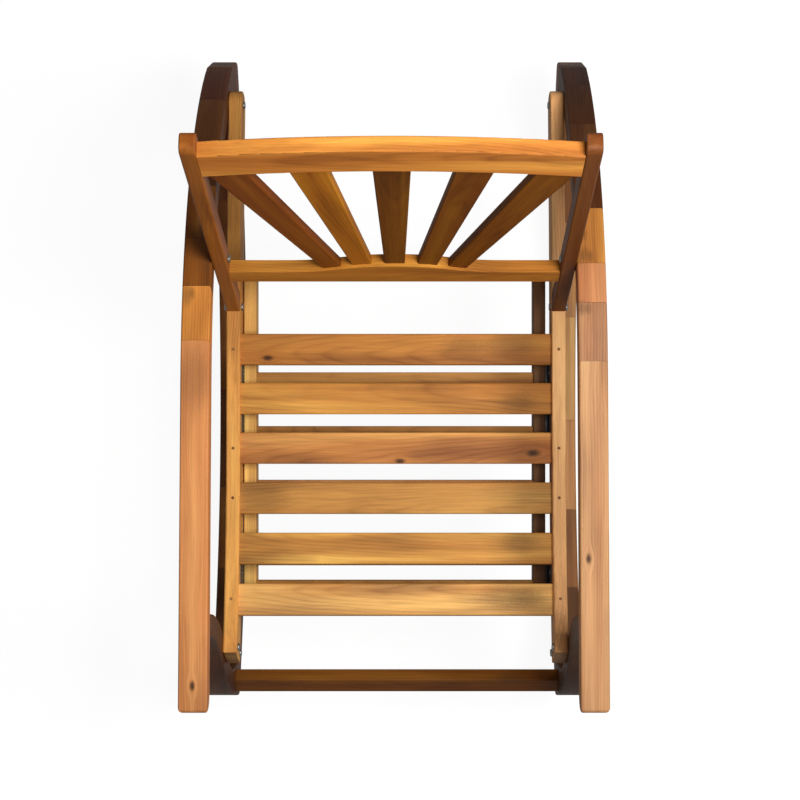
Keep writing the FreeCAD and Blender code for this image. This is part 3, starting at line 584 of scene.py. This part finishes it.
def knot_group():
    """Node group for a knot: a dark eye that the grain flows round.

    The distance to the knot counts less along the grain, in knot sizes. Near it the
    place is pulled to the knot's own line, so the grain's lines bulge round it.
    """
    tree, start = new_group(
        "acacia_knot",
        {"Board": "Vector", "Knot": "Vector", "Size": "Float"},
        {"Board": "Vector", "Mark": "Float"},
    )
    offset = node(
        tree, "ShaderNodeVectorMath", [start["Board"], start["Knot"]],
        operation="SUBTRACT",
    ).outputs[0]
    squeezed = node(
        tree, "ShaderNodeVectorMath", [offset, (1 / KNOT_STRETCH, 1.0, 1.0)],
        operation="MULTIPLY",
    )
    length = node(
        tree, "ShaderNodeVectorMath", [squeezed.outputs[0]], operation="LENGTH"
    )
    sizes = node(
        tree, "ShaderNodeMath", [length.outputs["Value"], start["Size"]],
        operation="DIVIDE",
    ).outputs[0]
    pull = node(
        tree, "ShaderNodeMapRange", [sizes, *KNOT_PULL],
        interpolation_type="SMOOTHERSTEP",
    )
    sideways = node(
        tree, "ShaderNodeVectorMath", [offset, (0.0, 1.0, 1.0)], operation="MULTIPLY"
    )
    moved = node(
        tree, "ShaderNodeVectorMath",
        {0: sideways.outputs[0], "Scale": pull.outputs[0]}, operation="SCALE",
    )
    board = node(
        tree, "ShaderNodeVectorMath", [start["Board"], moved.outputs[0]],
        operation="SUBTRACT",
    )
    fleck = node(
        tree, "ShaderNodeTexNoise",
        {"Vector": start["Board"], "Scale": 1 / (FLECK_WIDTH * MM), "Detail": 2.0},
    )
    ragged = node(
        tree, "ShaderNodeMath", [fleck.outputs[0], FLECK_SHARE, sizes],
        operation="MULTIPLY_ADD",
    )
    mark = node(
        tree, "ShaderNodeMapRange", [ragged.outputs[0], *KNOT_MARK],
        interpolation_type="SMOOTHSTEP",
    )
    node(tree, "NodeGroupOutput", {"Board": board.outputs[0], "Mark": mark.outputs[0]})
    return tree


def finish_wood(tree, board, seed, main, look, placed):
    """Adds a board's knots, figure, stains and painted shadows, and gives its colour
    and its figure.

    A mark is a place and a size in millimetres, and placed turns its place into one
    in the board. The knots come first, because they pull the grain. Stains and
    painted shadows are a knot's soft mark alone, in part, and lie under the knots.
    """
    groups = bpy.data.node_groups
    figure_tree = groups.get("acacia_figure") or acacia_group()
    knot_tree = groups.get("acacia_knot") or knot_group()
    shares = {"knots": [], "stains_and_shadows": []}
    for kind, most in (("knots", 1.0), ("stains_and_shadows", STAIN_AND_SHADOW_SHARE)):
        for *place, size in look.get(kind, ()):
            knot = node(
                tree, "ShaderNodeGroup",
                {"Board": board, "Knot": placed(place), "Size": size * MM},
                node_tree=knot_tree,
            ).outputs
            if kind == "knots":
                board = knot["Board"]
            share = node(
                tree, "ShaderNodeMath", [knot["Mark"], most], operation="MULTIPLY"
            )
            shares[kind].append(share.outputs[0])
    figure = node(
        tree, "ShaderNodeGroup",
        {"Board": board, "Seed": seed, "Main": main,
         "Figure": look.get("figure", USUAL_FIGURE)},
        node_tree=figure_tree,
    ).outputs
    colour = figure["Color"]
    for kind, tone in (("stains_and_shadows", STAIN_AND_SHADOW_COLOUR), ("knots", KNOT_COLOUR)):
        for share in shares[kind]:
            colour = node(
                tree, "ShaderNodeMix", {0: share, 6: colour, 7: linear(tone)},
                data_type="RGBA",
            ).outputs[2]
    return colour, figure


def oil_wood(tree, colour, shade, figure):
    """Satin oil over wood: a low, soft gloss that the open fibre roughens."""
    shaded = node(
        tree, "ShaderNodeVectorMath", {0: colour, "Scale": shade}, operation="SCALE"
    )
    bump = node(
        tree, "ShaderNodeBump",
        {"Height": figure["Height"], "Strength": FIBRE_BUMP,
         "Distance": FIBRE_DEPTH * MM},
    )
    shader = node(
        tree, "ShaderNodeBsdfPrincipled",
        {"Base Color": shaded.outputs[0], "Roughness": figure["Roughness"],
         "Normal": bump.outputs[0], "IOR": OIL_IOR,
         "Specular IOR Level": OIL_SPECULAR},
    )
    node(tree, "ShaderNodeOutputMaterial", [shader.outputs[0]])


def new_material(name):
    """A material and its node tree, which is empty."""
    material = bpy.data.materials.new(name)
    material.use_nodes = True
    material.node_tree.nodes.clear()
    return material, material.node_tree


def points_of(name):
    """The corner points of a piece as one array."""
    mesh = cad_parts[name].data
    flat = np.empty(len(mesh.vertices) * 3)
    mesh.vertices.foreach_get("co", flat)
    return flat.reshape(-1, 3)


def board_axes(points):
    """Middle and axes of a straight board: the axes are those its points spread on."""
    middle = (points.min(axis=0) + points.max(axis=0)) / 2
    centred = points - points.mean(axis=0)
    axes = np.linalg.svd(centred, full_matrices=False)[2]
    if np.linalg.det(axes) < 0:
        axes[2] = -axes[2]
    return middle, axes


def sawn_acacia(name, seed, look):
    """Oiled acacia, sawn, sanded and oiled: satin, honey brown, with wandering bands.

    The end grain drinks more oil, so it is darker than the faces, unless its look
    paints it paler as a highlight. A mark's place is one in the chair.
    """
    material, tree = new_material("oiled_acacia_" + name)
    source = node(tree, "ShaderNodeTexCoord").outputs
    middle, axes = board_axes(points_of(name))
    board = node(
        tree, "ShaderNodeMapping",
        [source["Object"], Vector(middle),
         Matrix(axes.tolist()).transposed().to_euler()],
        vector_type="TEXTURE",
    ).outputs[0]
    colour, figure = finish_wood(
        tree, board, seed, linear(look["colour"]), look,
        lambda place: Vector(axes @ (np.array(place) * MM - middle)),
    )
    facing = node(
        tree, "ShaderNodeVectorMath", [source["Normal"], Vector(axes[0])],
        operation="DOT_PRODUCT",
    )
    squarely = node(
        tree, "ShaderNodeMath", [facing.outputs["Value"]], operation="ABSOLUTE"
    )
    end = node(
        tree, "ShaderNodeMapRange",
        [squarely.outputs[0], *END_FACING, 1.0, look.get("end", USUAL_END)],
    )
    oil_wood(tree, colour, end.outputs[0], figure)
    return material


def jointed_acacia(name, laid_out, look):
    """Acacia blocks finger jointed end to end into a bent piece, sanded and oiled.

    Every block has its own tone and figure, and some blocks' tones hold painted light
    and shade. The fingers show as a zigzag on the sides and as a thin straight line
    on the face above, dark with glue and oil. A mark's place is one in the piece as
    it is laid out straight.
    """
    wood = bpy.context.scene.chair_wood
    material, tree = new_material("jointed_acacia_" + name)
    place = node(tree, "ShaderNodeTexCoord").outputs["Object"]
    board = node(
        tree, "ShaderNodeGroup", {"Place": place}, node_tree=laid_out
    ).outputs["Board"]
    parts = node(tree, "ShaderNodeSeparateXYZ", [board]).outputs
    finger = node(
        tree, "ShaderNodeMath", [parts[2], wood.joint_pitch], operation="PINGPONG"
    )
    zigzag = node(
        tree, "ShaderNodeMath",
        [finger.outputs[0], wood.joint_reach / wood.joint_pitch, parts[0]],
        operation="MULTIPLY_ADD",
    ).outputs[0]

    # The ramps step from block to block along the piece. The first two stops are the
    # piece's ends, as a ramp has two from the start.
    start, end = look["run"]
    blocks = look["blocks"]
    stops = [(0.0, linear(blocks[0][1])), (1.0, linear(blocks[-1][1]))]
    stops += [
        ((place - start) / (end - start), linear(colour))
        for place, colour in blocks[1:]
    ]
    tones = []
    for side in (-GLUE_WIDTH / 2, GLUE_WIDTH / 2):
        share = node(
            tree, "ShaderNodeMapRange",
            [zigzag, (start + side) * MM, (end + side) * MM, 0.0, 1.0],
        ).outputs[0]
        ramp = node(tree, "ShaderNodeValToRGB", [share], stops)
        ramp.color_ramp.interpolation = "CONSTANT"
        tones.append(ramp.outputs[0])

    # Two tones read a glue line apart differ only where two blocks meet
    change = node(
        tree, "ShaderNodeVectorMath", [tones[0], tones[1]], operation="DISTANCE"
    ).outputs["Value"]
    line = node(
        tree, "ShaderNodeMapRange", [change, 0.0, BLOCK_CHANGE, 1.0, GLUE_SHADE]
    )

    # Each block's number gives the seed of its figure
    number = node(
        tree, "ShaderNodeValToRGB", [share],
        [(position, grey(index / len(stops)))
         for index, (position, _) in enumerate(stops)],
    )
    number.color_ramp.interpolation = "CONSTANT"
    chance = node(
        tree, "ShaderNodeTexWhiteNoise",
        {"Vector": number.outputs[0], "W": look["seed"]}, noise_dimensions="4D",
    )
    seed = node(
        tree, "ShaderNodeMath", [chance.outputs["Value"], BLOCK_SEEDS],
        operation="MULTIPLY",
    ).outputs[0]
    colour, figure = finish_wood(
        tree, board, seed, tones[0], look, lambda place: Vector(place) * MM
    )
    oil_wood(tree, colour, line.outputs[0], figure)
    return material


def wear(name, material):
    """Puts one material in every slot of a piece."""
    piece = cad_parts[name]
    if not piece.material_slots:
        piece.data.materials.append(material)
    for slot in piece.material_slots:
        slot.material = material


def dress(table):
    """Gives each straight board its own acacia, from a table of name and look.

    A look has a colour, and may have how marked the figure is, how dark the end
    grain is (above one, how much paler it is painted as a highlight), and knots,
    stains and painted shadows: each a place (right, back, up) and a size, all
    in millimetres.
    """
    for index, (name, look) in enumerate(table.items()):
        wear(name, sawn_acacia(name, index * BOARD_SEED_STEP + len(name), look))


def seen_rays(tree, rays):
    """How far a ray shows the white background.

    It does so wholly from the camera or through a clear piece, and in part by way of
    a gloss, so that dark oiled wood keeps its depth.
    """
    glossy = node(
        tree, "ShaderNodeMath",
        [rays["Is Glossy Ray"], bpy.context.scene.chair_stage.gloss_share,
         rays["Is Camera Ray"]],
        operation="MULTIPLY_ADD",
    ).outputs[0]
    return node(
        tree, "ShaderNodeMath", [glossy, rays["Is Transmission Ray"]],
        operation="MAXIMUM",
    ).outputs[0]


def stand(name, data, place):
    """Puts a new object with the data into the scene."""
    made = bpy.data.objects.new(name, data)
    made.location = place
    bpy.context.scene.collection.objects.link(made)
    return made


class CHAIR_OT_frames(bpy.types.Operator):
    """Arms and rockers of finger-jointed acacia, and the front legs"""

    bl_idname = "chair.frames"
    bl_label = "Side frames"

    def execute(self, context):
        shape = context.scene.chair_shape
        fall = shape.arm_fall
        arm_laid_out = unrolled_group(
            "arm_laid_out", (0.0, shape.arch_back, shape.arch_height),
            (0.0, math.cos(fall), -math.sin(fall)),
            (0.0, math.sin(fall), math.cos(fall)), shape.arch_radius, True,
        )
        rocker_laid_out = unrolled_group(
            "rocker_laid_out", (0.0, shape.rocker_back, shape.rocker_radius),
            (0.0, 1.0, 0.0), (0.0, 0.0, -1.0), shape.rocker_radius, False,
        )
        # Each block: where it starts along the piece in millimetres, and its colour.
        # The dark blocks towards the arms' rear ends are in part painted shade, and the
        # pale front blocks of the right arm are in part a painted sheen. Each knot,
        # stain and
        # painted shadow: its place along, across and through the piece, and its size,
        # in millimetres.
        arms = {
            "left_arm": {
                "run": (-600.0, 800.0), "seed": 7.0, "figure": 0.6,
                "blocks": (
                    (-600.0, "#DD9256"), (59.0, "#E39240"), (146.0, "#8D5018"),
                    (227.0, "#814817"), (325.0, "#5E3213"), (430.0, "#6E401A"),
                    (540.0, "#582906"), (650.0, "#5D2F08"),
                ),
                "knots": [(-470.0, -309.0, 0.0, 4.0), (248.0, -300.0, 0.0, 9.0)],
                "stains_and_shadows": [
                    # The mark at 212 mm is the left post's painted shadow on the arm
                    (5.0, -309.0, 0.0, 26.0), (212.0, -296.0, 0.0, 20.0),
                    (134.0, -323.0, 0.0, 9.0), (137.0, -315.0, 0.0, 5.0),
                ],
            },
            "right_arm": {
                "run": (-600.0, 800.0), "seed": 16.0, "figure": 0.6,
                "blocks": (
                    (-600.0, "#C39061"), (27.0, "#C38D61"), (121.0, "#C38354"),
                    (186.0, "#BD7936"), (282.0, "#5A300F"), (362.0, "#532E14"),
                    (470.0, "#472408"), (590.0, "#3F1D06"),
                ),
                "knots": [(-276.0, 299.0, 0.0, 4.0)],
                "stains_and_shadows": [
                    (112.0, 287.0, 0.0, 6.0), (113.0, 294.0, 0.0, 6.0),
                    (112.0, 302.0, 0.0, 5.0), (198.0, 290.0, 0.0, 7.0),
                    (203.0, 298.0, 0.0, 7.0), (199.0, 307.0, 0.0, 5.0),
                    (238.0, 298.0, 0.0, 6.0),
                ],
            },
        }
        # The rockers' dark tones are in part painted shade under the arms, and the
        # right rocker's middle blocks are painted paler against the right arm's shadow
        rockers = {
            "left_rocker": {
                "run": (-700.0, 700.0), "seed": 31.0,
                "blocks": (
                    (-700.0, "#5E3618"), (-330.0, "#8A5525"), (-170.0, "#71421C"),
                    (20.0, "#915B28"), (210.0, "#6C3D19"), (390.0, "#5E3416"),
                ),
            },
            "right_rocker": {
                "run": (-700.0, 700.0), "seed": 40.0,
                "blocks": (
                    (-700.0, "#5E3A1C"), (-370.0, "#8E5E34"), (-215.0, "#C48E58"),
                    (-40.0, "#B07C48"), (160.0, "#B8844E"), (350.0, "#7A4C28"),
                ),
            },
        }
        for laid_out, table in ((arm_laid_out, arms), (rocker_laid_out, rockers)):
            for name, look in table.items():
                wear(name, jointed_acacia(name, laid_out, look))
        # The front legs' dark colours are painted shade from the arms above them
        dress({
            "left_front_leg": {"colour": "#552F11"},
            "right_front_leg": {"colour": "#4C2C12"},
            "left_frame_dowels": {"colour": "#C08A50"},
            "right_frame_dowels": {"colour": "#C08A50"},
        })
        return {"FINISHED"}


class CHAIR_OT_seat(bpy.types.Operator):
    """Seat rails, slats, pins, front stretcher and stop batten in oiled acacia"""

    bl_idname = "chair.seat"
    bl_label = "Seat"

    def execute(self, context):
        # The slats' colours grow paler towards the front, most of all the front slat,
        # in part painted light
        dress({
            "left_seat_rail": {
                "colour": "#E6A151", "figure": 0.6,
                "knots": [(-270.8, 2.1, 372.0, 2.5)],
            },
            "right_seat_rail": {"colour": "#F6B576", "figure": 0.5},
            "seat_slat_1": {
                "colour": "#C48038",
                "knots": [(-216.7, 36.2, 358.8, 4.5)],
                "stains_and_shadows": [(115.0, 52.0, 358.5, 20.0), (190.0, 54.0, 358.5, 22.0)],
            },
            "seat_slat_2": {
                "colour": "#CA873C", "figure": 0.7,
                "stains_and_shadows": [(205.0, -40.0, 359.0, 16.0)],
            },
            "seat_slat_3": {
                "colour": "#CA8444", "figure": 0.9,
                "knots": [(6.7, -138.0, 361.5, 4.5), (231.5, -124.5, 361.1, 6.0)],
            },
            "seat_slat_4": {
                "colour": "#CA8E46",
                "stains_and_shadows": [(-224.7, -198.7, 365.5, 24.0)],
            },
            "seat_slat_5": {
                "colour": "#D49546", "figure": 0.9,
                "stains_and_shadows": [(210.0, -275.0, 376.0, 16.0)],
            },
            "seat_slat_6": {
                "colour": "#F8BE6C", "figure": 0.9,
                "stains_and_shadows": [(180.0, -362.0, 390.0, 22.0), (222.0, -366.0, 391.0, 16.0)],
            },
            "seat_slat_pins": {"colour": "#936036", "end": 0.8},
            "front_stretcher": {
                "colour": "#774210", "figure": 0.9,
                "stains_and_shadows": [(200.0, -530.0, 219.0, 14.0)],
            },
            "seat_stop_batten": {"colour": "#9C6A38"},
        })
        return {"FINISHED"}


class CHAIR_OT_back(bpy.types.Operator):
    """Posts, back rails and spindles in oiled acacia"""

    bl_idname = "chair.back"
    bl_label = "Back"

    def execute(self, context):
        # The posts' ends face the softbox, and an end tone above one paints them paler
        # than their sides, a painted highlight
        dress({
            "left_back_post": {"colour": "#9C5B20", "end": 1.15},
            "right_back_post": {"colour": "#643311", "end": 1.5},
            "crest_rail": {"colour": "#D48437", "figure": 0.9},
            "lower_back_rail": {
                "colour": "#C07B2C", "figure": 0.6,
                "knots": [(190.0, 173.5, 556.0, 3.0)],
            },
            "back_spindle_1": {"colour": "#7B3F0E", "figure": 0.9},
            "back_spindle_2": {"colour": "#B36D1B", "figure": 0.6},
            "back_spindle_3": {"colour": "#6E3D0A"},
            "back_spindle_4": {"colour": "#77420C", "figure": 0.7},
            "back_spindle_5": {"colour": "#794407", "figure": 0.7},
        })
        return {"FINISHED"}


class CHAIR_OT_footrest(bpy.types.Operator):
    """Footrest in oiled acacia"""

    bl_idname = "chair.footrest"
    bl_label = "Footrest"

    def execute(self, context):
        # Most of its boards are out of the photograph's sight and share one look
        names = sorted(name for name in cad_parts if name.startswith("footrest_"))
        table = {name: {"colour": "#B07A36", "figure": 0.7} for name in names}
        table["footrest_slat_1"] = {"colour": "#A86F33"}
        # The left rail is painted pale with light, and the right one dark with the
        # right seat rail's painted shadow
        table["footrest_left_rail"] = {"colour": "#E2AC5C", "figure": 0.6}
        table["footrest_right_rail"] = {"colour": "#6A4422", "figure": 0.6}
        table["footrest_slat_3"] = {"colour": "#AD6C3C", "figure": 0.9}
        dress(table)
        return {"FINISHED"}


class CHAIR_OT_steel(bpy.types.Operator):
    """Bolts, nuts and screws of zinc-plated steel, and the black angles"""

    bl_idname = "chair.steel"
    bl_label = "Steel"

    def execute(self, context):
        look = context.scene.chair_steel

        # Turned steel, zinc plated and passivated: a cloudy grey that shines in spots
        zinc, tree = new_material("zinc_plated_steel")
        place = node(tree, "ShaderNodeTexCoord").outputs["Object"]
        cloud = node(
            tree, "ShaderNodeTexNoise",
            {"Vector": place, "Scale": 1 / (ZINC_CLOUD_WIDTH * MM), "Detail": 3.0},
        ).outputs[0]
        colour = node(
            tree, "ShaderNodeMix",
            {0: cloud, 6: linear(look.zinc), 7: linear(look.zinc_bright)},
            data_type="RGBA",
        )
        rough = node(
            tree, "ShaderNodeMapRange",
            [cloud, *NOISE_RANGE, look.zinc_dull, look.zinc_shine],
        )
        shader = node(
            tree, "ShaderNodeBsdfPrincipled",
            {"Base Color": colour.outputs[2], "Metallic": 1.0,
             "Roughness": rough.outputs[0]},
        )
        node(tree, "ShaderNodeOutputMaterial", [shader.outputs[0]])

        # Black stoved enamel on folded steel: fine orange peel, grey where it is rubbed
        black, tree = new_material("black_enamelled_steel")
        place = node(tree, "ShaderNodeTexCoord").outputs["Object"]
        rub = node(
            tree, "ShaderNodeTexNoise",
            {"Vector": place, "Scale": 1 / (RUB_WIDTH * MM), "Detail": 5.0},
        ).outputs[0]
        worn = node(tree, "ShaderNodeMapRange", [rub, *WORN_RANGE, 0.0, 1.0])
        colour = node(
            tree, "ShaderNodeMix",
            {0: worn.outputs[0], 6: linear(look.enamel), 7: linear(look.enamel_rubbed)},
            data_type="RGBA",
        )
        rough = node(
            tree, "ShaderNodeMapRange",
            [rub, *NOISE_RANGE, look.enamel_shine, look.enamel_dull],
        )
        peel = node(
            tree, "ShaderNodeTexNoise",
            {"Vector": place, "Scale": 1 / (PEEL_WIDTH * MM)},
        )
        bump = node(
            tree, "ShaderNodeBump",
            {"Height": peel.outputs[0], "Strength": PEEL_BUMP,
             "Distance": PEEL_DEPTH * MM},
        )
        shader = node(
            tree, "ShaderNodeBsdfPrincipled",
            {"Base Color": colour.outputs[2], "Roughness": rough.outputs[0],
             "Normal": bump.outputs[0]},
        )
        node(tree, "ShaderNodeOutputMaterial", [shader.outputs[0]])

        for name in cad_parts:
            if "bolts" in name or "nuts" in name or name == "angle_screws":
                wear(name, zinc)
            elif name.endswith("_angle"):
                wear(name, black)
        return {"FINISHED"}


class CHAIR_OT_stage(bpy.types.Operator):
    """Floor, even sky, one softbox and the camera above the chair"""

    bl_idname = "chair.stage"
    bl_label = "Stage"

    def execute(self, context):
        look = context.scene.chair_stage
        scene = context.scene
        scene.view_settings.view_transform = "Standard"

        ground = bpy.data.meshes.new("floor")
        corners = np.array([(-1, -1, 0), (1, -1, 0), (1, 1, 0), (-1, 1, 0)])
        ground.from_pydata((corners * look.floor_reach).tolist(), [], [(0, 1, 2, 3)])
        floor = stand("floor", ground, (0.0, 0.0, 0.0))

        # Matt paint: white to the camera and grey to the light that it throws back.
        # Its plain white leaves a share of real paint, on which the shadow shows.
        paint, tree = new_material("matt_floor")
        rays = node(tree, "ShaderNodeLightPath").outputs
        share = node(
            tree, "ShaderNodeMath", [seen_rays(tree, rays), look.floor_share],
            operation="MULTIPLY",
        )
        colour = node(
            tree, "ShaderNodeMix",
            {0: rays["Is Camera Ray"], 6: linear(look.floor), 7: grey(1.0)},
            data_type="RGBA",
        )
        matt = node(tree, "ShaderNodeBsdfDiffuse", [colour.outputs[2]])
        white = node(tree, "ShaderNodeEmission", [grey(1.0), look.floor_white])
        blend = node(
            tree, "ShaderNodeMixShader",
            [share.outputs[0], matt.outputs[0], white.outputs[0]],
        )
        node(tree, "ShaderNodeOutputMaterial", [blend.outputs[0]])
        ground.materials.append(paint)

        # An even sky that is plain white to the camera
        world = bpy.data.worlds.new("studio")
        world.use_nodes = True
        tree = world.node_tree
        tree.nodes.clear()
        rays = node(tree, "ShaderNodeLightPath").outputs
        strength = node(
            tree, "ShaderNodeMix", {0: seen_rays(tree, rays), 2: look.sky_power, 3: 1.0}
        )
        sky = node(tree, "ShaderNodeBackground", [grey(1.0), strength.outputs[0]])
        node(tree, "ShaderNodeOutputWorld", [sky.outputs[0]])
        scene.world = world

        # A softbox over the chair, to the right of it and turned to the seat
        lamp = bpy.data.lights.new("softbox", "AREA")
        lamp.energy = look.lamp_power
        lamp.size = look.lamp_size
        softbox = stand("softbox", lamp, look.lamp_place)
        away = Vector(look.lamp_place) - Vector(look.lamp_aim)
        softbox.rotation_euler = away.to_track_quat("Z", "Y").to_euler()
        softbox.visible_camera = False

        camera = bpy.data.cameras.new("camera")
        camera.lens = look.lens
        camera.sensor_width = look.sensor
        camera.shift_x = look.shift
        scene.camera = stand(
            "camera", camera, (look.camera_right, look.camera_back, look.camera_height)
        )
        return {"FINISHED"}


class CHAIR_PT_panel(bpy.types.Panel):
    """The chair's looks and the steps that make them"""

    bl_label = "Rocking chair"
    bl_idname = "CHAIR_PT_panel"
    bl_space_type = "VIEW_3D"
    bl_region_type = "UI"
    bl_category = "Rocking chair"

    def draw(self, context):
        layout = self.layout
        scene = context.scene
        for title in GROUPS:
            group = getattr(scene, title)
            for name in group.bl_rna.properties.keys():
                if name not in ("name", "rna_type"):
                    layout.prop(group, name)
        for operator in OPERATORS:
            layout.operator(operator.bl_idname)


OPERATORS = (
    CHAIR_OT_frames,
    CHAIR_OT_seat,
    CHAIR_OT_back,
    CHAIR_OT_footrest,
    CHAIR_OT_steel,
    CHAIR_OT_stage,
)
GROUPS = {
    "chair_wood": WoodLook,
    "chair_shape": FrameShape,
    "chair_steel": SteelLook,
    "chair_stage": StageLook,
}
CLASSES = (*GROUPS.values(), *OPERATORS, CHAIR_PT_panel)


def register():
    """Registers the classes and hangs the property groups on the scene."""
    for item in CLASSES:
        bpy.utils.register_class(item)
    for title, group in GROUPS.items():
        setattr(bpy.types.Scene, title, bpy.props.PointerProperty(type=group))


def unregister():
    """Takes the property groups and the classes away again."""
    for title in GROUPS:
        delattr(bpy.types.Scene, title)
    for item in reversed(CLASSES):
        bpy.utils.unregister_class(item)


def main():
    """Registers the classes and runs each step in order."""
    register()
    bpy.ops.chair.frames()
    bpy.ops.chair.seat()
    bpy.ops.chair.back()
    bpy.ops.chair.footrest()
    bpy.ops.chair.steel()
    bpy.ops.chair.stage()
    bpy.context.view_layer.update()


if __name__ == "__main__":
    main()
